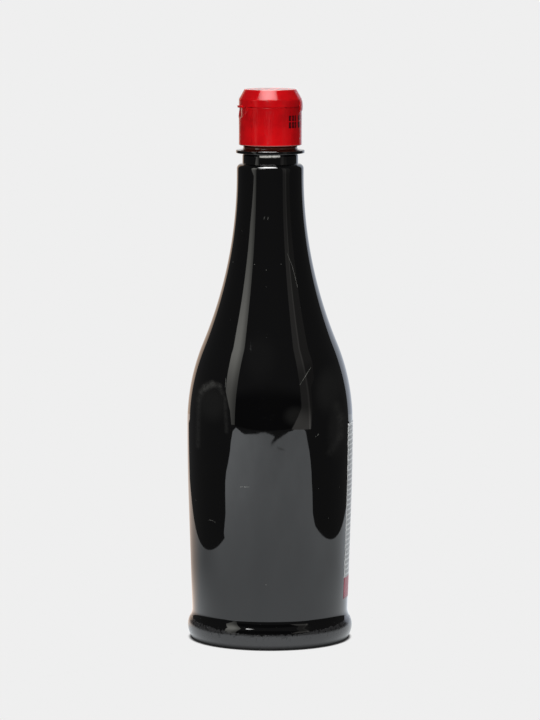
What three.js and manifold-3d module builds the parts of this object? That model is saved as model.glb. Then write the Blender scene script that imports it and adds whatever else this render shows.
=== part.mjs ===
// A tall sauce bottle of black plastic, shut with a red flip-top cap, and a paper label round its back.
// Millimetres, +Z up, origin on the floor under the middle of the base.
// Angles round the bottle are in degrees from the front, which faces -Y, and grow towards +X.

import * as THREE from "three";
import { mergeVertices } from "three/addons/utils/BufferGeometryUtils.js";
import Module from "manifold-3d";

const wasm = await Module();
wasm.setup();

// Driving dimensions

const sides = 60; // flats round every turned piece
const gap = 0.3; // clearance between two pieces that touch

const foot = {
  widest: 39.85, // radius of the bead round the base
  widestZ: 6.3,
  underRadius: 9.5, // arc from the widest line down towards the floor
  heelZ: 0.9, // where the small heel arc takes over
  topRadius: 8, // rounding on top of the bead
  waist: 37.7, // narrow line above the bead
  waistZ: 14.4,
  standRing: 30, // inner edge of the flat ring that it stands on
  pushUp: 3, // rise of the base inside that ring
};

const body = {
  widest: 40,
  widestZ: 105.5,
  taperZ: 70, // the straight flare ends here and eases into the widest line
  taperRadius: 39.5,
  shoulderRadius: 100.5, // outward arc of the shoulder; the inward arc above it is worked out
};

const neck = {
  columnZ: 225.5, // top of the shoulder sweep
  column: 16.1,
  edgeRadius: 2.45, // rounded edge where the body ends
  columnTopZ: 230.55,
  collar: 13.4, // narrow collar between the body and the support ring
  collarZ: 233.2,
  throat: 13,
  ring: 16.5, // support ring
  ringZ: 235.4,
  ringThick: 1.3,
  ringRise: 0.5, // how much the ring's top climbs towards the neck
  finish: 12.8, // plain tube inside the cap
  topZ: 252,
};

const cap = {
  radius: 15.1,
  bottomZ: 239.8,
  splitZ: 257.9, // line between the cap's base and its lid
  chamferZ: 261.5,
  topRadius: 12.45,
  topZ: 266.2,
  edge: 0.3, // small bevel on every rim
  thumbAngle: -78, // where the thumb tab is
  hingeAngle: 102,
};

const tab = {
  reach: 16,
  radius: 9,
  fromZ: -0.45, // heights from the split line; the lip hangs in the scoop, clear of its floor
  toZ: 0.7,
  inner: 14.4,
};
const scoop = { halfWidth: 7.5, deep: 5.5, floor: 14.1, rimWidth: 0.5, rimReach: 19.35, rimShift: 4.2 };
const strap = { halfHeight: 2.9, halfTurn: 35, thick: 0.4, outer: 15.6 };
const label = { fromAngle: 70.2, toAngle: 254, bottomZ: 20.4, topZ: 104.7, thick: 0.2 };

const radians = THREE.MathUtils.degToRad;

// Profiles: each is a list of Vector2, x for the radius and y for the height

function point(radius, z) {
  return new THREE.Vector2(radius, z);
}

// Points along an arc about a centre, both ends included, angles in degrees from straight outwards
function arc(centre, radius, from, to, steps) {
  return Array.from({ length: steps + 1 }, (_, i) => {
    const angle = radians(from + ((to - from) * i) / steps);
    return point(centre.x + radius * Math.cos(angle), centre.y + radius * Math.sin(angle));
  });
}

// Two arcs that meet smoothly and join two upright stretches, the lower and wider one first
function ogee(lower, upper, lowerRadius, lowerSteps, upperSteps) {
  const rise = upper.y - lower.y;
  const turn = THREE.MathUtils.radToDeg(2 * Math.atan((lower.x - upper.x) / rise));
  const upperRadius = rise / Math.sin(radians(turn)) - lowerRadius;
  const lowerCentre = point(lower.x - lowerRadius, lower.y);
  const upperCentre = point(upper.x + upperRadius, upper.y);
  return [
    ...arc(lowerCentre, lowerRadius, 0, turn, lowerSteps),
    ...arc(upperCentre, upperRadius, 180 + turn, 180, upperSteps).slice(1),
  ];
}

function footProfile() {
  const turn = THREE.MathUtils.radToDeg(Math.asin((foot.widestZ - foot.heelZ) / foot.underRadius));
  const under = arc(point(foot.widest - foot.underRadius, foot.widestZ), foot.underRadius, -turn, 0, 3);
  const heelRadius = foot.heelZ / (1 - Math.sin(radians(turn)));
  const heel = arc(point(under[0].x - heelRadius * Math.cos(radians(turn)), heelRadius), heelRadius, -90, -turn, 3);
  const domeRadius = (foot.standRing ** 2 + foot.pushUp ** 2) / (2 * foot.pushUp);
  const domeTurn = THREE.MathUtils.radToDeg(Math.asin(foot.standRing / domeRadius));
  const dome = arc(point(0, foot.pushUp - domeRadius), domeRadius, 90, 90 - domeTurn, 3);
  const bead = ogee(point(foot.widest, foot.widestZ), point(foot.waist, foot.waistZ), foot.topRadius, 3, 3);
  return [...dome, ...heel, ...under.slice(1, -1), ...bead];
}

function bodyProfile() {
  const flare = (body.taperRadius - foot.waist) / (body.taperZ - foot.waistZ);
  const bend = point(body.widest, body.taperZ + (body.widest - body.taperRadius) / flare);
  const ease = new THREE.QuadraticBezierCurve(
    point(body.taperRadius, body.taperZ), bend, point(body.widest, body.widestZ));
  const shoulder = ogee(
    point(body.widest, body.widestZ), point(neck.column, neck.columnZ), body.shoulderRadius, 7, 9);
  return [...ease.getPoints(3), ...shoulder.slice(1)];
}

function neckProfile() {
  const edge = point(neck.column - neck.edgeRadius, neck.columnTopZ - neck.edgeRadius);
  const ringTopZ = neck.ringZ + neck.ringThick;
  const soft = neck.ringThick / 2; // the ring's edge is fully rounded
  return [
    ...arc(edge, neck.edgeRadius, 0, 90, 4),
    point(neck.collar, neck.columnTopZ),
    point(neck.collar, neck.collarZ),
    point(neck.throat, neck.collarZ + 1),
    point(neck.throat, neck.ringZ),
    ...arc(point(neck.ring - soft, neck.ringZ + soft), soft, -90, 90, 4),
    point(neck.throat, ringTopZ + neck.ringRise),
    point(neck.throat, cap.bottomZ - 1),
    point(neck.finish, cap.bottomZ - 1),
    point(neck.finish, neck.topZ),
    point(0, neck.topZ),
  ];
}

function lidProfile() {
  const bottomZ = cap.splitZ + gap / 2;
  return [
    point(0, bottomZ),
    point(cap.radius - cap.edge, bottomZ),
    point(cap.radius, bottomZ + cap.edge),
    point(cap.radius, cap.chamferZ),
    point(cap.topRadius + cap.edge / 2, cap.topZ - cap.edge),
    point(cap.topRadius - cap.edge / 2, cap.topZ),
    point(0, cap.topZ),
  ];
}

function capBaseProfile() {
  const topZ = cap.splitZ - gap / 2;
  return [
    point(0, neck.topZ + gap),
    point(neck.finish + gap, neck.topZ + gap),
    point(neck.finish + gap, cap.bottomZ),
    point(cap.radius - cap.edge, cap.bottomZ),
    point(cap.radius, cap.bottomZ + cap.edge),
    point(cap.radius, topZ - cap.edge),
    point(cap.radius - cap.edge, topZ),
    point(0, topZ),
  ];
}

// Shapes

// A profile turned round +Z, with the first flat's edge at the front
function turned(profile) {
  return new THREE.LatheGeometry(profile, sides).rotateX(Math.PI / 2);
}

// A shape drawn across (x) and up (y) on the front, run outwards between two distances from the axis
function pushedOut(shape, from, to, angle) {
  return new THREE.ExtrudeGeometry(shape, { depth: to - from, bevelEnabled: false, curveSegments: 20 })
    .translate(0, 0, from)
    .rotateX(Math.PI / 2)
    .rotateZ(radians(angle));
}

function upright(radius, fromZ, toZ, segments) {
  return new THREE.CylinderGeometry(radius, radius, toZ - fromZ, segments)
    .rotateX(Math.PI / 2)
    .translate(0, 0, (fromZ + toZ) / 2);
}

function toSolid(geometry) {
  const bare = geometry.clone();
  bare.deleteAttribute("normal");
  bare.deleteAttribute("uv");
  const merged = mergeVertices(bare, 1e-4);
  return new wasm.Manifold(new wasm.Mesh({
    numProp: 3,
    vertProperties: new Float32Array(merged.attributes.position.array),
    triVerts: new Uint32Array(merged.index.array),
  }));
}

function toGeometry(solid) {
  const mesh = solid.getMesh();
  const geometry = new THREE.BufferGeometry();
  geometry.setAttribute("position", new THREE.BufferAttribute(new Float32Array(mesh.vertProperties), 3));
  geometry.setIndex(new THREE.BufferAttribute(new Uint32Array(mesh.triVerts), 1));
  return geometry;
}

// Lower half of an ellipse, hanging from the split line and running a little past it
function scoopOutline(grow) {
  const shape = new THREE.Shape();
  const top = cap.splitZ + 1;
  shape.moveTo(scoop.halfWidth + grow, top);
  shape.lineTo(-scoop.halfWidth - grow, top);
  shape.lineTo(-scoop.halfWidth - grow, cap.splitZ);
  shape.absellipse(0, cap.splitZ, scoop.halfWidth + grow, scoop.deep + grow, Math.PI, 2 * Math.PI, false, 0);
  shape.closePath();
  return shape;
}

// Thumb recess below the tab, with a thin raised rim that stands higher at its sides
function withScoop(base) {
  const centre = radians(cap.thumbAngle);
  const fan = upright(scoop.rimReach, cap.bottomZ, cap.splitZ - gap / 2, 2 * sides)
    .translate(-scoop.rimShift * Math.sin(centre), scoop.rimShift * Math.cos(centre), 0);
  const rim = toSolid(pushedOut(scoopOutline(scoop.rimWidth), scoop.floor, scoop.rimReach, cap.thumbAngle))
    .intersect(toSolid(fan));
  const hollow = toSolid(pushedOut(scoopOutline(0), 0, scoop.rimReach, cap.thumbAngle))
    .subtract(toSolid(upright(scoop.floor, cap.bottomZ - 1, cap.splitZ + 2, 2 * sides)));
  return base.add(rim).subtract(hollow);
}

// What is left of a turned solid between two angles
function sector(solid, fromAngle, toAngle) {
  const wedge = new THREE.Shape();
  wedge.moveTo(0, 0);
  wedge.absarc(0, 0, 2 * body.widest, radians(fromAngle - 90), radians(toAngle - 90), false);
  wedge.closePath();
  const cutter = new THREE.ExtrudeGeometry(wedge, { depth: cap.topZ, bevelEnabled: false, curveSegments: 8 });
  return solid.intersect(toSolid(cutter));
}

// Arched hinge strap, rooted in the base and bowed over the split line in front of the lid
function hingeStrap() {
  const inner = strap.outer - strap.thick;
  const root = cap.radius - 1;
  const arch = new THREE.Path();
  arch.moveTo(root, -strap.halfHeight);
  arch.quadraticCurveTo(strap.outer, -strap.halfHeight + 0.3, strap.outer, 0);
  arch.quadraticCurveTo(strap.outer, strap.halfHeight - 1, inner + 0.1, strap.halfHeight);
  arch.lineTo(inner, strap.halfHeight - strap.thick);
  arch.lineTo(inner, -gap / 2);
  arch.lineTo(root, -gap / 2);
  arch.lineTo(root, -strap.halfHeight);
  const ring = turned(arch.getPoints(4).map((p) => point(p.x, p.y + cap.splitZ)));
  return sector(toSolid(ring), cap.hingeAngle - strap.halfTurn, cap.hingeAngle + strap.halfTurn);
}

// Shallow step in the lid's wall that the strap lies over
function strapRecess() {
  const inner = strap.outer - strap.thick - gap;
  const topZ = cap.splitZ + strap.halfHeight + gap;
  const ring = turned([
    point(inner, cap.splitZ - 1), point(cap.radius + 2, cap.splitZ - 1), point(cap.radius + 2, topZ),
    point(inner, topZ), point(inner, cap.splitZ - 1),
  ]);
  const halfTurn = strap.halfTurn + 1.5;
  return sector(toSolid(ring), cap.hingeAngle - halfTurn, cap.hingeAngle + halfTurn);
}

function capBase() {
  return toGeometry(withScoop(toSolid(turned(capBaseProfile()))).add(hingeStrap()));
}

// Lid with its thumb tab, a disc set off centre so that it stands out as a crescent
function capLid() {
  const centre = radians(cap.thumbAngle);
  const offset = tab.reach - tab.radius;
  const disc = upright(tab.radius, cap.splitZ + tab.fromZ, cap.splitZ + tab.toZ, sides)
    .translate(offset * Math.sin(centre), -offset * Math.cos(centre), 0);
  const core = upright(tab.inner, cap.splitZ - 1, cap.splitZ + gap / 2, 2 * sides);
  const crescent = toSolid(disc).subtract(toSolid(core));
  return toGeometry(toSolid(turned(lidProfile())).subtract(strapRecess()).add(crescent));
}

function bottleProfile() {
  return [...footProfile(), ...bodyProfile(), ...neckProfile()];
}

// The bottle's outline between two heights, moved outwards
function wallBetween(fromZ, toZ, offset) {
  const wall = [...footProfile().slice(-1), ...bodyProfile()];
  const radiusAt = (z) => {
    const i = wall.findIndex((p, n) => n > 0 && p.y >= z);
    return THREE.MathUtils.mapLinear(z, wall[i - 1].y, wall[i].y, wall[i - 1].x, wall[i].x);
  };
  return [
    point(radiusAt(fromZ) + offset, fromZ),
    ...wall.filter((p) => p.y > fromZ && p.y < toZ).map((p) => point(p.x + offset, p.y)),
    point(radiusAt(toZ) + offset, toZ),
  ];
}

// Label: a thin ring that follows the wall, kept only between its two edges
function labelSheet() {
  const inner = wallBetween(label.bottomZ, label.topZ, gap);
  const outer = wallBetween(label.bottomZ, label.topZ, gap + label.thick);
  const ring = turned([...outer, ...inner.reverse(), outer[0]]);
  return toGeometry(sector(toSolid(ring), label.fromAngle, label.toAngle));
}

// The object

function named(name, geometry, material) {
  const mesh = new THREE.Mesh(geometry, material);
  mesh.name = name;
  return mesh;
}

const blackPlastic = new THREE.MeshStandardMaterial({ color: 0x0c0c0d, roughness: 0.08, metalness: 0 });
const redPlastic = new THREE.MeshStandardMaterial({ color: 0xbe1218, roughness: 0.35, metalness: 0 });
const printedPaper = new THREE.MeshStandardMaterial({ color: 0xe4e5e2, roughness: 0.5, metalness: 0 });

const sauceBottle = new THREE.Group();
sauceBottle.add(
  named("bottle", turned(bottleProfile()), blackPlastic),
  named("cap_base", capBase(), redPlastic),
  named("cap_lid", capLid(), redPlastic),
  named("label", labelSheet(), printedPaper),
);

export default sauceBottle;
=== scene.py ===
# A tall black plastic sauce bottle with a red flip-top cap, standing in a pale studio.
# Lengths in the dictionaries are millimetres. Angles go round the bottle in degrees
# from the front, which faces -Y, and grow towards +X.

import math
import bpy
import bmesh
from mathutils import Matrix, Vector


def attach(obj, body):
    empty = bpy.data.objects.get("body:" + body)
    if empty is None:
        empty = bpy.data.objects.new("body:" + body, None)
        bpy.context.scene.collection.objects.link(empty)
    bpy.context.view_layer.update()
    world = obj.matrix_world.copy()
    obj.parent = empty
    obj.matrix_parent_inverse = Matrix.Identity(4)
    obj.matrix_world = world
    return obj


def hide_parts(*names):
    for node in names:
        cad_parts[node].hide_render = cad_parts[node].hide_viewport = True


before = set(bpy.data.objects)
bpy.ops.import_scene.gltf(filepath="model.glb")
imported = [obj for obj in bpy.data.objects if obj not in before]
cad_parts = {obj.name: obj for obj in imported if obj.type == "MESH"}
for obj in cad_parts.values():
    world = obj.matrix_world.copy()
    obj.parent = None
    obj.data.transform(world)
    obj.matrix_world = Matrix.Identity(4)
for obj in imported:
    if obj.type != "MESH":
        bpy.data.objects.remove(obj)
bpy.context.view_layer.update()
mm = 0.001


# Small helpers for shapes

def facing(angle):
    turn = math.radians(angle)
    return Vector((math.sin(turn), -math.cos(turn), 0))


def arc(centre, radius, fromAngle, toAngle, steps):
    # angles from straight outwards, both ends included
    points = []
    for i in range(steps + 1):
        turn = math.radians(fromAngle + (toAngle - fromAngle) * i / steps)
        points.append((centre[0] + radius * math.cos(turn), centre[1] + radius * math.sin(turn)))
    return points


def straight(start, end, steps):
    return [tuple(a + (b - a) * i / steps for a, b in zip(start, end)) for i in range(steps + 1)]


def ogee(lower, upper, lowerRadius, steps):
    # two arcs that join two upright stretches smoothly, the lower and wider one first
    rise = upper[1] - lower[1]
    turn = 2 * math.atan((lower[0] - upper[0]) / rise)
    upperRadius = rise / math.sin(turn) - lowerRadius
    turn = math.degrees(turn)
    return (arc((lower[0] - lowerRadius, lower[1]), lowerRadius, 0, turn, steps)
            + arc((upper[0] + upperRadius, upper[1]), upperRadius, 180 + turn, 180, steps)[1:])


def rounded(corners, steps):
    # corners are (radius, height, rounding); each is swapped for an arc of that rounding
    points = []
    for i, (x, z, rounding) in enumerate(corners):
        here = Vector((x, z))
        if rounding == 0:
            points.append((x, z))
            continue
        before = (Vector(corners[i - 1][:2]) - here).normalized()
        after = (Vector(corners[i + 1][:2]) - here).normalized()
        half = before.angle(after) / 2
        middle = (before + after).normalized()
        centre = here + middle * rounding / math.sin(half)
        first = (here + before * rounding / math.tan(half) - centre).normalized()
        last = (here + after * rounding / math.tan(half) - centre).normalized()
        for j in range(steps + 1):
            points.append(tuple(centre + first.slerp(last, j / steps) * rounding))
    return points


def bowed(start, pull, end, steps):
    # a curve from start to end that leans towards pull
    points = []
    for i in range(steps + 1):
        t = i / steps
        point = Vector(start) * (1 - t) ** 2 + Vector(pull) * 2 * t * (1 - t) + Vector(end) * t * t
        points.append(tuple(point))
    return points


def spun(profile, steps, fromAngle=0, turn=360):
    # a bmesh of the profile spun round the bottle's axis
    mesh = bmesh.new()
    out = facing(fromAngle)
    chain = [mesh.verts.new((out * r + Vector((0, 0, z))) * mm) for r, z in profile]
    line = [mesh.edges.new(pair) for pair in zip(chain, chain[1:])]
    bmesh.ops.spin(mesh, geom=chain + line, cent=(0, 0, 0), axis=(0, 0, 1), dvec=(0, 0, 0),
                   angle=math.radians(turn), steps=steps, use_merge=turn == 360)
    bmesh.ops.remove_doubles(mesh, verts=mesh.verts, dist=1e-6)
    bmesh.ops.recalc_face_normals(mesh, faces=mesh.faces)
    return mesh


def closeEnds(mesh):
    bmesh.ops.holes_fill(mesh, edges=[edge for edge in mesh.edges if edge.is_boundary], sides=0)


def finished(mesh, name, material, smooth=True):
    # turns a bmesh into an object at the origin
    for face in mesh.faces:
        face.smooth = smooth
    data = bpy.data.meshes.new(name)
    mesh.to_mesh(data)
    mesh.free()
    data.materials.append(material)
    piece = bpy.data.objects.new(name, data)
    bpy.context.scene.collection.objects.link(piece)
    return piece


def onBottle(piece, slot, *nodes):
    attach(piece, "root")
    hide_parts(*nodes)


def eased(value, low, high):
    # 0 below low, 1 above high, and smooth between
    t = min(max((value - low) / (high - low), 0), 1)
    return t * t * (3 - 2 * t)


# Small helpers for materials

def newMaterial(name):
    material = bpy.data.materials.new(name)
    material.use_nodes = True
    tree = material.node_tree
    return material, tree, tree.nodes["Principled BSDF"]


def add(tree, kind, inputs=None, **settings):
    node = tree.nodes.new("ShaderNode" + kind)
    for key, value in settings.items():
        setattr(node, key, value)
    for key, value in (inputs or {}).items():
        if isinstance(value, bpy.types.NodeSocket):
            tree.links.new(value, node.inputs[key])
        else:
            node.inputs[key].default_value = value
    return node


def calc(tree, operation, a, b=0.0, c=0.0):
    return add(tree, "Math", {0: a, 1: b, 2: c}, operation=operation).outputs[0]


def vectorCalc(tree, operation, a, b=(0, 0, 0)):
    node = add(tree, "VectorMath", {0: a, 1: b}, operation=operation)
    return node.outputs["Value" if operation in ("DOT_PRODUCT", "DISTANCE", "LENGTH") else "Vector"]


def between(tree, value, low, high, toLow=0.0, toHigh=1.0):
    inputs = {"Value": value, "From Min": low, "From Max": high, "To Min": toLow, "To Max": toHigh}
    return add(tree, "MapRange", inputs, interpolation_type="SMOOTHSTEP").outputs["Result"]


def blended(tree, factor, a, b):
    # mix of two colours
    node = add(tree, "Mix", {0: factor, 6: a, 7: b}, data_type="RGBA")
    return node.outputs[2]


def noise(tree, place, scale, detail, roughness=0.5):
    inputs = {"Vector": place, "Scale": scale, "Detail": detail, "Roughness": roughness}
    return add(tree, "TexNoise", inputs).outputs["Fac"]


def bumped(tree, shader, height, deep, strength):
    bump = add(tree, "Bump", {"Height": height, "Distance": deep * mm, "Strength": strength})
    tree.links.new(bump.outputs["Normal"], shader.inputs["Normal"])


def glowing(tree, shader, colour, strength):
    # plain emission in place of the usual shader
    tree.nodes.remove(shader)
    glow = add(tree, "Emission", {"Color": colour, "Strength": strength})
    tree.links.new(glow.outputs[0], tree.nodes["Material Output"].inputs["Surface"])


# Materials

blackLooks = {
    "colour": (0.003, 0.003, 0.0032, 1),
    "worn": (0.03, 0.03, 0.031, 1),        # the scuffed heel
    "dustAndSheen": (0.16, 0.16, 0.15),            # pale colour of scratches and specks, and of the painted highlight and painted reflections
    "capGlow": (0.035, 0.007, 0.004, 1),   # the red cap mirrored in the neck below it
    "capGlowZ": 237.05, "capGlowSoft": 0.15,
    "roughness": 0.024, "ior": 1.57,
    "smudge": 0.02,                        # extra roughness in smudged patches
    "scuff": 0.2, "scuffBump": 0.6,        # roughness and relief of the heel
    "scuffTop": 7.5, "scuffRagged": 2.4,   # height of its upper edge, and how uneven that is
    "scuffRise": 2.2,                      # how the edge climbs towards the sides
    "pitsBelow": (3.2, 1), "fewestPits": 0.15,   # glossy pits grow commoner between these depths
    "specksPerMetre": 170, "speckSize": 0.032, "specksSkipped": 0.6,
}

# Pale marks on the front: from (x, z) to (x, z), half width, strength. The thin ones are scratches and
# specks; the one under the support ring is a painted highlight, and the wide faint ones are painted
# reflections
marks = [
    ((-14.1, 78.8), (-13.0, 78.9), 0.3, 1.2), ((-12.2, 78.9), (-10.1, 79.0), 0.3, 1.2),
    ((-29.1, 61.2), (-27.6, 61.3), 0.25, 0.7), ((-27.6, 61.3), (-26.2, 60.5), 0.25, 0.6),
    ((22.9, 103.5), (22.8, 103.2), 0.4, 1.0), ((21.9, 102.7), (21.8, 102.5), 0.35, 1.0),
    ((8.0, 188.8), (9.2, 186.0), 0.18, 0.35), ((9.2, 186.0), (10.7, 182.1), 0.22, 0.5),
    ((10.7, 182.1), (11.9, 177.4), 0.22, 0.6), ((11.9, 177.4), (13.0, 172.6), 0.26, 0.6),
    ((19.3, 135.2), (16.8, 131.4), 0.26, 0.8), ((16.8, 131.4), (14.2, 127.6), 0.26, 0.6),
    ((-21.1, 130.0), (-21.3, 126.0), 0.22, 0.6), ((-2.8, 206.0), (-2.9, 205.1), 0.3, 0.6),
    # the second mark on the next line, just under the support ring, is a painted highlight
    ((-1.0, 205.8), (-1.1, 204.9), 0.3, 0.6), ((-4.6, 234.6), (4.2, 234.7), 0.85, 4.8),
    # the wide faint marks from here on are painted reflections
    ((-34.0, 119), (-32.9, 122.3), 2.2, 0.08), ((-32.9, 122.3), (-30.9, 124.7), 2.2, 0.12),
    ((-30.9, 124.7), (-27.5, 126.8), 2.4, 0.2), ((-27.5, 126.8), (-24.2, 126.3), 2.2, 0.1),
    ((-24.2, 126.3), (-22.7, 123), 1.8, 0.06), ((-34.2, 118), (-34.6, 96), 1.8, 0.08),
    ((-21.5, 121), (-20.7, 105), 1.5, 0.06), ((31.7, 116.4), (34.0, 110), 3, 0.05),
    ((34.0, 110), (33.6, 101), 3, 0.07), ((33.6, 101), (28.8, 94.3), 3, 0.05),
]
# Faint pale patches on the front, painted reflections: middle (x, z), half width, half height, strength
paintedReflections = [
    (-28, 118, 8, 10, 0.04), (28, 124, 7, 12, 0.045), (32, 104, 5, 14, 0.045),
    (12, 113, 6, 5, 0.05), (-5, 140, 9, 12, 0.012),
]


def marked(tree, x, y, z):
    # how strongly the scratches, specks, painted highlight and painted reflections show here
    spot = add(tree, "CombineXYZ", {0: x, 1: z}).outputs[0]
    total = 0.0
    for start, end, width, strength in marks:
        run = (Vector((*end, 0)) - Vector((*start, 0))) * mm
        offset = vectorCalc(tree, "SUBTRACT", spot, Vector((*start, 0)) * mm)
        part = vectorCalc(tree, "DOT_PRODUCT", offset, run / run.length_squared)
        part = calc(tree, "MINIMUM", calc(tree, "MAXIMUM", part, 0.0), 1.0)
        nearest = vectorCalc(tree, "MULTIPLY", add(tree, "CombineXYZ", {0: part, 1: part}).outputs[0], run)
        away = vectorCalc(tree, "DISTANCE", offset, nearest)
        total = calc(tree, "ADD", total, between(tree, away, width * mm, 0.0, 0.0, strength))
    broken = between(tree, noise(tree, spot, 700, 3), 0.3, 0.55, 0.35, 1.0)
    total = calc(tree, "MULTIPLY", total, broken)
    for middleX, middleZ, wide, tall, strength in paintedReflections:
        offset = vectorCalc(tree, "SUBTRACT", spot, Vector((middleX, middleZ, 0)) * mm)
        scaled = vectorCalc(tree, "MULTIPLY", offset, (1 / (wide * mm), 1 / (tall * mm), 0))
        reach = vectorCalc(tree, "LENGTH", scaled)
        total = calc(tree, "ADD", total, between(tree, reach, 1.2, 0.3, 0.0, strength))
    return calc(tree, "MULTIPLY", total, calc(tree, "LESS_THAN", y, 0.0))


def blackPlastic():
    looks = blackLooks
    material, tree, shader = newMaterial("blackPlastic")
    place = add(tree, "TexCoord").outputs["Object"]
    x, y, height = add(tree, "SeparateXYZ", {0: place}).outputs

    fine = noise(tree, place, 520, 3, 0.7)
    scuffTop, ragged = looks["scuffTop"], looks["scuffRagged"]
    edge = calc(tree, "MULTIPLY_ADD", fine, ragged * mm, (scuffTop - ragged / 2) * mm)
    climb = calc(tree, "MULTIPLY", calc(tree, "MULTIPLY", x, x), looks["scuffRise"])
    scuffed = calc(tree, "LESS_THAN", height, calc(tree, "ADD", edge, climb))

    smudged = between(tree, noise(tree, place, 45, 4, 0.6), 0.48, 0.72)
    rough = calc(tree, "MULTIPLY_ADD", smudged, looks["smudge"], looks["roughness"])
    rough = calc(tree, "MAXIMUM", rough, calc(tree, "MULTIPLY", scuffed, looks["scuff"]))
    tree.links.new(rough, shader.inputs["Roughness"])

    deepest, shallowest = [(scuffTop - depth) * mm for depth in looks["pitsBelow"]]
    common = between(tree, height, deepest, shallowest, looks["fewestPits"], 1.0)
    pits = calc(tree, "MULTIPLY", between(tree, fine, 0.45, 0.4), common)
    worn = calc(tree, "MULTIPLY", scuffed, calc(tree, "SUBTRACT", 1.0, pits))
    colour = blended(tree, worn, looks["colour"], looks["worn"])
    glowZ = looks["capGlowZ"]
    mirrored = between(tree, height, (glowZ - looks["capGlowSoft"]) * mm, glowZ * mm)
    colour = blended(tree, mirrored, colour, looks["capGlow"])

    cells = add(tree, "TexVoronoi", {"Vector": place, "Scale": looks["specksPerMetre"]})
    near = calc(tree, "LESS_THAN", cells.outputs["Distance"], looks["speckSize"])
    drawn = add(tree, "SeparateColor", {0: cells.outputs["Color"]}).outputs[0]
    speck = calc(tree, "MULTIPLY", near, calc(tree, "GREATER_THAN", drawn, looks["specksSkipped"]))
    # dust specks and scratches, plus the painted highlight and painted reflections, lighten the colour
    light = calc(tree, "ADD", speck, marked(tree, x, y, height))
    light = add(tree, "CombineXYZ", {0: light, 1: light, 2: light}).outputs[0]
    colour = vectorCalc(tree, "ADD", colour, vectorCalc(tree, "MULTIPLY", light, looks["dustAndSheen"]))
    tree.links.new(colour, shader.inputs["Base Color"])

    relief = calc(tree, "MULTIPLY", scuffed, looks["scuffBump"])
    bumped(tree, shader, noise(tree, place, 2600, 2), 0.02, relief)
    shader.inputs["IOR"].default_value = looks["ior"]
    return material


redLooks = {
    "colour": (0.66, 0.0045, 0.0075, 1),
    "deep": (0.54, 0.0035, 0.0065, 1),
    "roughness": (0.11, 0.19), "ior": 1.5, "specular": 0.2,
    # painted shade: the lid's colour is scaled down a little
    "paintedLidShade": 0.97,
    "paintedBaseLight": (0.84, 1.14), "paintedBaseLightRun": 20,     # painted light: the base grows brighter towards its foot
    "ink": (0.03, 0.003, 0.005, 1),
    "lip": (0.42, 0.14, 0.13, 1), "lipTall": 0.42,   # the paler lower edge of the base
}


def redPlastic(name, printed):
    looks = redLooks
    material, tree, shader = newMaterial(name)
    place = add(tree, "TexCoord").outputs["Object"]
    tone = between(tree, noise(tree, place, 160, 3, 0.55), 0.35, 0.7)
    colour = blended(tree, tone, looks["colour"], looks["deep"])
    if printed:
        height = add(tree, "SeparateXYZ", {0: place}).outputs["Z"]
        footZ = cap["splitZ"] - looks["paintedBaseLightRun"]
        level = between(tree, height, cap["splitZ"] * mm, footZ * mm, *looks["paintedBaseLight"])
    else:
        level = looks["paintedLidShade"]
    # painted shading: the base's colour is scaled by height, the lid's by a fixed factor
    colour = add(tree, "VectorMath", {0: colour, "Scale": level}, operation="SCALE").outputs[0]
    if printed:
        ink = add(tree, "Attribute", attribute_name="ink").outputs["Fac"]
        colour = blended(tree, ink, colour, looks["ink"])
        lip = calc(tree, "LESS_THAN", height, (cap["bottomZ"] + looks["lipTall"]) * mm)
        colour = blended(tree, lip, colour, looks["lip"])
    tree.links.new(colour, shader.inputs["Base Color"])
    grain = noise(tree, place, 1500, 2)
    tree.links.new(between(tree, grain, 0.3, 0.7, *looks["roughness"]), shader.inputs["Roughness"])
    bumped(tree, shader, grain, 0.01, 0.25)
    shader.inputs["IOR"].default_value = looks["ior"]
    shader.inputs["Specular IOR Level"].default_value = looks["specular"]
    return material


# The bottle

foot = {
    "widest": 39.85, "widestZ": 6.3,   # bead round the base
    "underRadius": 9.5, "heelZ": 0.9,
    "topRadius": 8, "waist": 37.7, "waistZ": 14.4,
    "standRing": 30, "pushUp": 3,      # flat ring it stands on, and the dome inside it
}
body = {
    "widest": 40, "widestZ": 105.5,
    "taperZ": 70, "taperRadius": 39.5,
    "shoulderRadius": 100.5,
}
neck = {
    "column": 16.1, "columnZ": 225.5, "edgeRadius": 2.45, "columnTopZ": 230.55,
    "collar": 13.4, "collarZ": 234.4, "throat": 13,
    "ring": 16.5, "ringZ": 235.56, "ringThick": 1.5,   # support ring
    "ringRise": 0.45, "ringFillet": 0.8, "ringSoft": 0.36,
    "finish": 12.8, "finishZ": 238.96, "topZ": 252,    # plain tube inside the cap
}
bottleSteps = 224


def footProfile():
    turn = math.degrees(math.asin((foot["widestZ"] - foot["heelZ"]) / foot["underRadius"]))
    under = arc((foot["widest"] - foot["underRadius"], foot["widestZ"]), foot["underRadius"], -turn, 0, 14)
    heelRadius = foot["heelZ"] / (1 - math.sin(math.radians(turn)))
    heelX = under[0][0] - heelRadius * math.cos(math.radians(turn))
    domeRadius = (foot["standRing"] ** 2 + foot["pushUp"] ** 2) / (2 * foot["pushUp"])
    domeTurn = math.degrees(math.asin(foot["standRing"] / domeRadius))
    dome = arc((0, foot["pushUp"] - domeRadius), domeRadius, 90, 90 - domeTurn, 12)
    flat = straight((foot["standRing"], 0), (heelX, 0), 4)
    heel = arc((heelX, heelRadius), heelRadius, -90, -turn, 6)
    bead = ogee((foot["widest"], foot["widestZ"]), (foot["waist"], foot["waistZ"]), foot["topRadius"], 16)
    return dome + flat[1:-1] + heel + under[1:-1] + bead


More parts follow.
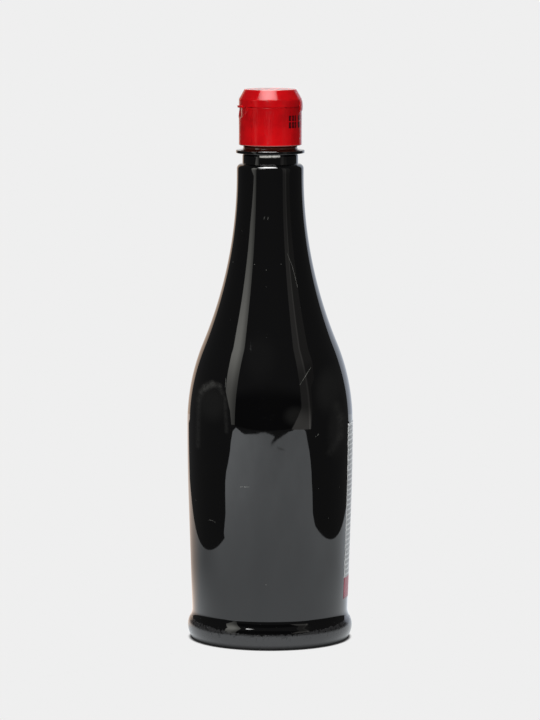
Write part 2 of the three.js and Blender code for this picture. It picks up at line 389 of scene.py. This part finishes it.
def bodyProfile():
    flare = (body["taperRadius"] - foot["waist"]) / (body["taperZ"] - foot["waistZ"])
    bend = (body["widest"], body["taperZ"] + (body["widest"] - body["taperRadius"]) / flare)
    taper = straight((foot["waist"], foot["waistZ"]), (body["taperRadius"], body["taperZ"]), 36)
    easing = bowed((body["taperRadius"], body["taperZ"]), bend, (body["widest"], body["widestZ"]), 24)
    shoulder = ogee((body["widest"], body["widestZ"]), (neck["column"], neck["columnZ"]),
                    body["shoulderRadius"], 60)
    return taper[1:] + easing[1:] + shoulder[1:]


def neckProfile():
    edge = neck["edgeRadius"]
    ringTop = neck["ringZ"] + neck["ringThick"]
    lower = arc((neck["column"] - edge, neck["columnTopZ"] - edge), edge, 0, 84, 12)[1:]
    upper = rounded([
        (*lower[-1], 0),
        (neck["collar"], neck["columnTopZ"], 0.12),
        (neck["collar"], neck["collarZ"], 0.4),
        (neck["throat"], neck["collarZ"] + 0.7, 0.2),
        (neck["throat"], neck["ringZ"], 0.2),
        (neck["ring"], neck["ringZ"], neck["ringSoft"]),
        (neck["ring"], ringTop, neck["ringSoft"]),
        (neck["throat"], ringTop + neck["ringRise"], neck["ringFillet"]),
        (neck["throat"], neck["finishZ"], 0),
        (neck["finish"], neck["finishZ"], 0),
        (neck["finish"], neck["topZ"], 0.2),
        (0, neck["topZ"], 0),
    ], 6)[1:]
    return lower + upper


def makeBottle():
    profile = footProfile() + bodyProfile() + neckProfile()
    piece = finished(spun(profile, bottleSteps), "bottleBody", blackPlastic())
    onBottle(piece, "bottle_plastic", "bottle")
    print("bottle made")


# The cap

cap = {
    "radius": 15.1, "bottomZ": 239.45, "splitZ": 257.9, "gap": 0.12,
    "chamferZ": 261.5, "topRadius": 12.45, "topZ": 266.2, "chamferRound": 1, "topRound": 0.6,
    "bore": 13.1, "boreTopZ": 252.3, "edge": 0.3,
    "rowTall": 0.24, "wallInner": 14.2,   # rows of the base's wall, and what counts as that wall
    "thumbAngle": -78, "hingeAngle": 102,
}
ribs = {"count": 99, "deep": 0.05, "fromZ": 247.6, "toZ": 256.6}
scoop = {
    "halfWidth": 7.5, "deep": 5.5, "floor": 14.1,
    "rimWidth": 0.25, "rimReach": 19.35, "rimShift": 4.2,
}
tab = {
    "reach": 16, "radius": 9, "inner": 14.4, "halfTurn": 21,
    "fromZ": -0.45, "tipZ": 0.7, "endZ": 0.12, "round": 0.3,   # heights from the split line
}
strap = {"halfHeight": 2.9, "halfTurn": 35, "thick": 0.4, "outer": 15.6}
code = {
    "fromAngle": 36, "wide": 5.4, "step": 7, "columns": (0, 1, 2, 3.5, 4.5),
    "fromZ": 248.2, "tall": 2.7, "rowStep": 3.2, "stroke": 0.6, "hollow": 0.55,
}


def across(place, angle):
    # how far a point lies sideways of the line that leaves the axis at this angle
    out = facing(angle)
    return (out.x * place.y - out.y * place.x) / mm


def scoopRadius(place, radius):
    # wall radius with the thumb scoop sunk in and its rim standing proud
    sideways = across(place, cap["thumbAngle"])
    up = place.z / mm - cap["splitZ"]
    a, b = scoop["halfWidth"], scoop["deep"]
    if up > 0.5 or abs(sideways) > a + 3 or facing(cap["thumbAngle"]).dot(place) < 0:
        return radius
    level = math.hypot(sideways / a, min(up, 0) / b)
    slope = math.hypot(sideways / a ** 2, min(up, 0) / b ** 2)
    away = (level - 1) * level / max(slope, 1e-6)   # distance outside the oval
    along = math.sqrt(scoop["rimReach"] ** 2 - sideways ** 2) - scoop["rimShift"]
    rim = math.hypot(along, sideways)
    width = scoop["rimWidth"]
    outside = radius + (rim - radius) * (1 - eased(away, width, width + 0.3))
    return outside + (scoop["floor"] - outside) * (1 - eased(away, -0.3, 0.05))


def ribbedRadius(place, radius):
    z = place.z / mm
    band = eased(z, ribs["fromZ"], ribs["fromZ"] + 2.5) * (1 - eased(z, ribs["toZ"], ribs["toZ"] + 0.3))
    wave = 0.5 - 0.5 * math.cos(ribs["count"] * math.atan2(place.y, place.x))
    return radius - ribs["deep"] * band * wave


def shapeWall(mesh, lowest):
    # moves the points of the base's outer wall in or out
    for vert in mesh.verts:
        radius = vert.co.xy.length / mm
        if radius < cap["wallInner"] or vert.co.z < lowest * mm:
            continue
        flat = Vector((vert.co.x, vert.co.y, 0)).normalized()
        wanted = scoopRadius(vert.co, ribbedRadius(vert.co, radius))
        vert.co = flat * wanted * mm + Vector((0, 0, vert.co.z))


def inkMask(piece):
    # a few meaningless little blocks where the cap carries its printed code
    ink = piece.data.attributes.new("ink", "FLOAT", "POINT")
    perDegree = cap["radius"] * math.radians(1)
    for vert in piece.data.vertices:
        angle = math.degrees(math.atan2(vert.co.x, -vert.co.y))
        z = vert.co.z / mm
        mark = 0
        for row in range(2):
            up = z - code["fromZ"] - row * code["rowStep"]
            for column in code["columns"]:
                along = (angle - code["fromAngle"] - column * code["step"]) * perDegree
                inside = min(along, code["wide"] * perDegree - along, up, code["tall"] - up)
                if inside > 0:
                    mark = 1 if inside < code["stroke"] else code["hollow"]
        ink.data[vert.index].value = mark


def makeCapBase():
    radius, bore, edge = cap["radius"], cap["bore"], cap["edge"]
    bottom, top = cap["bottomZ"], cap["splitZ"] - cap["gap"] / 2
    rows = int((top - bottom - 2 * edge) / cap["rowTall"])
    profile = rounded([(0, cap["boreTopZ"], 0), (bore, cap["boreTopZ"], edge), (bore, bottom, 0.25),
                       (radius, bottom, edge), (radius, bottom + 1, 0)], 4)[:-1]
    profile += straight((radius, bottom + 0.4), (radius, top - edge), rows)
    profile += rounded([(radius, top - edge, 0), (radius, top, edge / 2), (13.8, top, 0)], 3)[1:]
    profile += [(0, top)]
    mesh = spun(profile, ribs["count"] * 4)
    shapeWall(mesh, bottom + 1)
    bmesh.ops.recalc_face_normals(mesh, faces=mesh.faces)
    piece = finished(mesh, "capBase", redPlastic("redPlasticPrinted", True))
    inkMask(piece)
    onBottle(piece, "cap_plastic", "cap_base")
    print("cap base made")


def makeTab():
    # the thumb tab: a rounded strip spun past the thumb side, then pulled out to a crescent
    low, high, inner = tab["fromZ"], tab["tipZ"], tab["inner"]
    loop = rounded([(inner, low, 0), (inner + 1, low, tab["round"]), (inner + 1, high, tab["round"]),
                    (inner, high, 0)], 5)
    profile = [(r, z + cap["splitZ"]) for r, z in loop + loop[:1]]
    halfTurn = tab["halfTurn"]
    mesh = spun(profile, 72, cap["thumbAngle"] - halfTurn, 2 * halfTurn)
    closeEnds(mesh)
    offset = tab["reach"] - tab["radius"]
    for vert in mesh.verts:
        out = vert.co.xy.length / mm
        flat = Vector((vert.co.x, vert.co.y, 0)).normalized()
        sine = across(vert.co, cap["thumbAngle"]) / out
        reach = offset * math.sqrt(1 - sine ** 2) + math.sqrt(tab["radius"] ** 2 - (offset * sine) ** 2)
        if out > inner + 0.2:   # the inner side stays where it is
            out += max(reach - inner - 1, -0.9)
        up = vert.co.z / mm - cap["splitZ"]
        sunk = (high - tab["endZ"]) * eased(abs(sine), 0, math.sin(math.radians(halfTurn)))
        up -= sunk * eased(up, low, high)
        vert.co = flat * out * mm + Vector((0, 0, (cap["splitZ"] + up) * mm))
    bmesh.ops.recalc_face_normals(mesh, faces=mesh.faces)
    piece = finished(mesh, "thumbTab", bpy.data.materials["redPlastic"])
    onBottle(piece, "cap_plastic", "cap_lid")
    print("thumb tab made")


def makeCapLid():
    bottom = cap["splitZ"] + cap["gap"] / 2
    radius, top = cap["radius"], cap["topZ"]
    profile = rounded([(0, bottom, 0), (radius, bottom, 0.15), (radius, bottom + 1, 0)], 4)
    profile += rounded([(radius, bottom + 2, 0), (radius, cap["chamferZ"], cap["chamferRound"]),
                        (cap["topRadius"], top, cap["topRound"]), (0, top, 0)], 8)
    piece = finished(spun(profile, 320), "capLid", redPlastic("redPlastic", False))
    onBottle(piece, "cap_plastic", "cap_lid")
    print("cap lid made")


def makeStrap():
    # the arched hinge strap, rooted in the base and bowed over the split line
    outer, inner, root = strap["outer"], strap["outer"] - strap["thick"], cap["radius"] - 0.5
    tall = strap["halfHeight"]
    outline = bowed((root, -tall), (outer, 0.3 - tall), (outer, 0), 8)
    outline += bowed((outer, 0), (outer, tall - 1), (inner + 0.1, tall), 8)[1:]
    outline += [(inner, tall - strap["thick"]), (inner, -0.15), (root, -0.15), (root, -tall)]
    profile = [(x, z + cap["splitZ"]) for x, z in outline]
    mesh = spun(profile, 60, cap["hingeAngle"] - strap["halfTurn"], 2 * strap["halfTurn"])
    closeEnds(mesh)
    bmesh.ops.recalc_face_normals(mesh, faces=mesh.faces)
    piece = finished(mesh, "hingeStrap", bpy.data.materials["redPlastic"])
    onBottle(piece, "cap_plastic", "cap_base")
    print("hinge strap made")


# The label

label = {
    "fromAngle": 69.6, "toAngle": 254, "bottomZ": 20.4, "topZ": 106.2,
    "innerOff": 0.03, "outerOff": 0.08,   # its two faces, measured from the bottle's wall
    "white": (0.86, 0.88, 0.88, 1), "red": (0.50, 0.10, 0.14, 1), "grey": (0.49, 0.51, 0.51, 1),
    "roughness": (0.32, 0.45), "bandTopZ": 31,
    "lineStep": 2.43, "lineShift": 1.3, "lineFill": 0.64,                  # rows of plain grey bars
    "columnStep": 31, "columnMiddle": 0.44, "columnHalf": 0.42,            # set in columns
    "barsPerMetre": 420, "barCut": 0.42, "evenWidth": 7, "printRadius": 39.5,
}


def labelPaper():
    material, tree, shader = newMaterial("labelPaper")
    place = add(tree, "TexCoord").outputs["Object"]
    middle = math.radians((label["fromAngle"] + label["toAngle"]) / 2)
    turned = add(tree, "Mapping", {"Vector": place, "Rotation": (0, 0, -middle)}).outputs[0]
    x, y, z = add(tree, "SeparateXYZ", {0: turned}).outputs
    angle = calc(tree, "ARCTAN2", x, calc(tree, "MULTIPLY", y, -1.0))
    half = math.radians((label["toAngle"] - label["fromAngle"]) / 2)
    along = calc(tree, "MULTIPLY", calc(tree, "ADD", angle, half), label["printRadius"] * mm)
    shifted = calc(tree, "SUBTRACT", z, label["lineShift"] * mm)
    lines = calc(tree, "DIVIDE", shifted, label["lineStep"] * mm)
    inLine = calc(tree, "LESS_THAN", calc(tree, "FRACT", lines), label["lineFill"])
    row = calc(tree, "FLOOR", lines)
    column = calc(tree, "FRACT", calc(tree, "DIVIDE", along, label["columnStep"] * mm))
    inColumn = calc(tree, "COMPARE", column, label["columnMiddle"], label["columnHalf"])
    stretched = calc(tree, "MULTIPLY", along, label["barsPerMetre"])
    cells = add(tree, "CombineXYZ", {0: stretched, 1: row}).outputs[0]
    inBar = calc(tree, "GREATER_THAN", noise(tree, cells, 2.2, 0), label["barCut"])
    inBar = calc(tree, "MAXIMUM", inBar, calc(tree, "LESS_THAN", along, label["evenWidth"] * mm))
    bars = calc(tree, "MULTIPLY", calc(tree, "MULTIPLY", inLine, inBar), inColumn)
    colour = blended(tree, bars, label["white"], label["grey"])
    colour = blended(tree, calc(tree, "LESS_THAN", z, label["bandTopZ"] * mm), colour, label["red"])
    tree.links.new(colour, shader.inputs["Base Color"])
    fibre = noise(tree, place, 1400, 3)
    tree.links.new(between(tree, fibre, 0.3, 0.7, *label["roughness"]), shader.inputs["Roughness"])
    bumped(tree, shader, fibre, 0.01, 0.2)
    return material


def makeLabel():
    wall = [point for point in bodyProfile() if label["bottomZ"] < point[1] < label["topZ"]]
    inner = [(r + label["innerOff"], z) for r, z in wall]
    outer = [(r + label["outerOff"], z) for r, z in reversed(wall)]
    turn = label["toAngle"] - label["fromAngle"]
    mesh = spun(inner + outer + inner[:1], 140, label["fromAngle"], turn)
    closeEnds(mesh)
    bmesh.ops.recalc_face_normals(mesh, faces=mesh.faces)
    piece = finished(mesh, "labelSheet", labelPaper())
    onBottle(piece, "label_paper", "label")
    print("label made")


# Stage, lights and camera

stage = {
    "floorHalf": 16000,
    "pale": 0.863,           # brightness of floor and background alike
    "contactReach": 3,       # how far the contact shadow spreads
    "contactDark": 0.02,     # its darkest
    "ambient": 0.04,         # soft light on matt colours
    "haze": 0.055,           # faint light of the dark room in reflections
}
white = (1, 1, 1, 1)


def paleFloor():
    material, tree, shader = newMaterial("paleFloor")
    shade = add(tree, "AmbientOcclusion", {"Distance": stage["contactReach"] * mm}, samples=16)
    bright = between(tree, shade.outputs["AO"], 0.35, 0.75, stage["contactDark"], stage["pale"])
    glowing(tree, shader, white, bright)
    return material


def makeFloor():
    mesh = bmesh.new()
    bmesh.ops.create_grid(mesh, x_segments=1, y_segments=1, size=stage["floorHalf"] * mm)
    floor = finished(mesh, "floor", paleFloor(), smooth=False)
    floor.visible_glossy = False
    floor.visible_diffuse = False


def makeRoom():
    # camera rays see the same pale tone as the floor, diffuse rays a soft ambient light
    world = bpy.data.worlds.new("studio")
    bpy.context.scene.world = world
    world.use_nodes = True
    tree = world.node_tree
    path = add(tree, "LightPath")
    seen = calc(tree, "MULTIPLY", path.outputs["Is Camera Ray"], stage["pale"])
    soft = calc(tree, "MULTIPLY", path.outputs["Is Diffuse Ray"], stage["ambient"])
    mirrored = calc(tree, "MULTIPLY", path.outputs["Is Glossy Ray"], stage["haze"])
    strength = calc(tree, "ADD", calc(tree, "ADD", seen, soft), mirrored)
    tree.links.new(strength, tree.nodes["Background"].inputs["Strength"])
    tree.nodes["Background"].inputs["Color"].default_value = white
    print("floor and room made")


# What the glossy bottle mirrors. Side cards are outlined by (angle, height) at their distance.
# Runs are (axis, from, to, factor at from, factor at to) along a card.
cards = {
    "sideFar": 260, "leftFar": 900,
    "left": [(-54, 40), (-56.4, 144), (-61.8, 227), (-66.5, 290), (-68.3, 404), (-69.3, 504), (-70.7, 600),
             (-71, 1000), (-49, 1000), (-49, 40)],
    "leftTint": (1, 1, 0.93, 1), "leftRuns": [("Z", 230, 690, 0.98, 2.25), ("X", -785, -692, 1, 0.5)],
    "right": [(28, 80), (54.5, 80), (57, 130), (58.5, 180), (66.2, 199), (68, 224), (70, 245), (70, 430),
              (42, 430), (42, 135), (36, 112)],
    "rightTint": (1, 0.97, 0.92, 1),
    "rightRuns": [("Z", 215, 265, 0.17, 0.27), ("Z", 85, 140, 3.4, 1.1), ("X", 202, 207, 1, 1.7),
                  ("X", 208, 215, 1, 0.3)],
    "front": [(-47.5, 80), (27, 80), (36, 108), (42, 135), (42, 216), (-47.5, 216)],
    "frontRuns": [("Z", 160, 215, 0, 1)],
    "panelZ": 700, "panelGlow": 24,
    "panel": [(-270, -480), (208, -480), (208, -290), (110, -200), (110, 500), (-120, 500), (-120, -120),
              (-240, -140), (-338, -200), (-338, -330)],
    "panelRuns": [("X", -330, -80, 0.5, 1), ("X", -60, 208, 1, 0.5), ("Y", -450, -330, 0.12, 1)],
    "tongue": [(-490, -630), (-205, -630), (-205, -503), (-490, -503)], "tongueGlow": 10,
    "stain": [(103, -700), (130, -682), (250, -634), (170, -678)], "stainZ": 0.5, "stainGlow": 0.45,
    "wallY": 900, "wallGlow": 0.9,
    "walls": [
        [(-534, -1), (-200, -1), (-200, 900), (-630, 900), (-630, 250)],
        [(-200, -1), (200, -1), (200, 900), (-200, 900)],
        [(200, -1), (766, -1), (840, 250), (840, 900), (200, 900)],
    ],
    "wallTints": [(1, 0.76, 0.6, 1), (1, 1, 1, 1), (0.85, 0.92, 1.05, 1)],
}

# The white table that the bottle stood on. Pairs of lengths are where a change starts and ends.
table = {
    "z": -0.5, "glow": 1.38, "near": 0.78, "cloudy": (0.96, 1.04),
    "dip": (37.5, 41.5), "dipGlow": 0.02,                           # dim right under the bottle
    "farReach": (150, 450), "farAcross": (-600, 100), "farGain": (0.45, 0.1),
    "besideDepth": (-110, 60), "besideReach": (60, 240),            # darker beside and behind it
    "besideAcross": (-60, 60), "sideLoss": (0.5, 0.24),
    "tint": (0.96, 1, 1.03, 1), "tintAcross": (-30, 30),
    "backLeftTint": (1.4, 1.15, 1, 1), "backRightTint": (1, 1.07, 1.16, 1),
}

# outline of that table, with the sweep behind the bottle
tableEdge = [
    (-534, 900), (-471, 794), (-331, 743), (-300, 643), (-250, 461), (-255, 364), (-255, -125),
    (-270, -124), (-310, -161), (-386, -196), (-434, -221), (-479, -259), (-517, -320), (-561, -382),
    (-599, -421), (-815, -752), (-541, -644), (-459, -672), (-393, -717), (-323, -754), (-252, -785),
    (-180, -823), (-103, -841), (-23, -827), (53, -805), (93, -790), (56, -771), (25, -750), (2, -733),
    (48, -738), (84, -748), (122, -759), (159, -763), (197, -762), (238, -767), (276, -767), (366, -771),
    (471, -784),
    (650, -870), (820, -890), (555, -391), (508, -334), (463, -290), (414, -254), (372, -220),
    (331, -194), (302, -174), (284, -140), (283, 303), (430, 640), (470, 690), (599, 704), (766, 900),
]


def cardGlow(name, tint, strength, runs=()):
    material, tree, shader = newMaterial(name)
    place = add(tree, "TexCoord").outputs["Object"]
    along = add(tree, "SeparateXYZ", {0: place}).outputs
    for axis, start, end, low, high in runs:
        factor = between(tree, along[axis], start * mm, end * mm, low, high)
        strength = calc(tree, "MULTIPLY", factor, strength)
    glowing(tree, shader, tint, strength)
    return material


def tableGlow():
    # brightness and tint of the table, which change from place to place
    material, tree, shader = newMaterial("tableGlow")
    place = add(tree, "TexCoord").outputs["Object"]
    reach = vectorCalc(tree, "LENGTH", place)
    x, y, z = add(tree, "SeparateXYZ", {0: place}).outputs

    def ramp(value, name, low=0.0, high=1.0):
        start, end = table[name]
        return between(tree, value, start * mm, end * mm, low, high)

    farther = calc(tree, "MULTIPLY", ramp(reach, "farReach"), ramp(x, "farAcross", *table["farGain"]))
    beside = calc(tree, "MULTIPLY", ramp(y, "besideDepth"), ramp(reach, "besideReach"))
    dimmed = calc(tree, "MULTIPLY", beside, ramp(x, "besideAcross", *table["sideLoss"]))
    bright = calc(tree, "ADD", farther, table["near"])
    cloudy = between(tree, noise(tree, place, 5, 3), 0.3, 0.7, *table["cloudy"])
    dip = ramp(reach, "dip", table["dipGlow"], 1.0)
    for factor in (calc(tree, "SUBTRACT", 1.0, dimmed), dip, cloudy, table["glow"]):
        bright = calc(tree, "MULTIPLY", bright, factor)
    behind = between(tree, calc(tree, "DIVIDE", y, reach), 0.3, 0.85)
    backTint = blended(tree, ramp(x, "tintAcross"), table["backLeftTint"], table["backRightTint"])
    glowing(tree, shader, blended(tree, behind, table["tint"], backTint), bright)
    return material


def card(name, corners, material):
    # a flat card that only mirror-like reflections see
    mesh = bmesh.new()
    mesh.faces.new([mesh.verts.new(Vector(corner) * mm) for corner in corners])
    sheet = finished(mesh, name, material, smooth=False)
    for ray in ("visible_camera", "visible_diffuse", "visible_transmission", "visible_shadow",
                "visible_volume_scatter"):
        setattr(sheet, ray, False)


def sideCard(name, outline, far, material):
    # an upright flat card across the line that leaves the axis at its middle angle
    middle = (max(outline)[0] + min(outline)[0]) / 2
    out = facing(middle) * far
    side = facing(middle + 90)
    corners = []
    for angle, height in outline:
        corner = out + side * far * math.tan(math.radians(angle - middle))
        corners.append((corner.x, corner.y, height))
    card(name, corners, material)


def flatAt(outline, z):
    return [(x, y, z) for x, y in outline]


def makeCards():
    card("tableCard", flatAt(tableEdge, table["z"]), tableGlow())
    card("tableStain", flatAt(cards["stain"], cards["stainZ"]),
         cardGlow("stainGlow", white, cards["stainGlow"]))
    sideCard("leftCard", cards["left"], cards["leftFar"],
             cardGlow("leftGlow", cards["leftTint"], 1.0, cards["leftRuns"]))
    sideCard("rightCard", cards["right"], cards["sideFar"],
             cardGlow("rightGlow", cards["rightTint"], 1.0, cards["rightRuns"]))
    dark = cardGlow("darkGlow", white, stage["haze"], cards["frontRuns"])
    sideCard("frontDark", cards["front"], cards["sideFar"], dark)
    panel = cardGlow("panelGlow", white, cards["panelGlow"], cards["panelRuns"])
    card("overheadPanel", flatAt(cards["panel"], cards["panelZ"]), panel)
    card("overheadTongue", flatAt(cards["tongue"], cards["panelZ"]),
         cardGlow("tongueGlow", white, cards["tongueGlow"]))
    for i, (outline, tint) in enumerate(zip(cards["walls"], cards["wallTints"])):
        corners = [(x, cards["wallY"], z) for x, z in outline]
        card("wall" + str(i + 1), corners, cardGlow("wallGlow" + str(i + 1), tint, cards["wallGlow"]))
    print("studio cards made")


# Soft lamps: place, size and watts. All are aimed at one height on the bottle's axis.
lampAimZ = 160
lights = {
    "front": ((-157, -1500, 400), 600, 19),
    "backRight": ((795, 1272, 400), 600, 23),
    "backLeft": ((-964, 1149, 400), 600, 10),
    "top": ((0, 0, 1500), 400, 7),
}


def softLight(name, place, size, watts):
    lamp = bpy.data.lights.new(name, "AREA")
    lamp.size = size * mm
    lamp.energy = watts
    holder = bpy.data.objects.new(name, lamp)
    bpy.context.scene.collection.objects.link(holder)
    holder.location = Vector(place) * mm
    aim = Vector((0, 0, lampAimZ * mm)) - holder.location
    holder.rotation_euler = aim.to_track_quat("-Z", "Y").to_euler()
    holder.visible_glossy = False
    holder.visible_camera = False


def makeLights():
    for name, (place, size, watts) in lights.items():
        softLight(name + "Light", place, size, watts)
    print("lights made")


view = {
    "place": (0, -1976, 364), "lookDown": 6.6, "roll": -0.055,
    "lens": 205.8, "sensor": 36, "shift": -0.00075, "clipFar": 40000,
}


def makeCamera():
    lens = bpy.data.cameras.new("camera")
    lens.lens = view["lens"]
    lens.sensor_width = view["sensor"]
    lens.shift_x = view["shift"]
    lens.clip_end = view["clipFar"] * mm
    camera = bpy.data.objects.new("camera", lens)
    bpy.context.scene.collection.objects.link(camera)
    camera.location = [length * mm for length in view["place"]]
    camera.rotation_euler = (math.radians(90 - view["lookDown"]), math.radians(view["roll"]), 0)
    bpy.context.scene.camera = camera
    bpy.context.scene.view_settings.view_transform = "Standard"
    print("camera made")


makeBottle()
makeCapBase()
makeCapLid()
makeTab()
makeStrap()
makeLabel()
makeFloor()
makeRoom()
makeCards()
makeLights()
makeCamera()
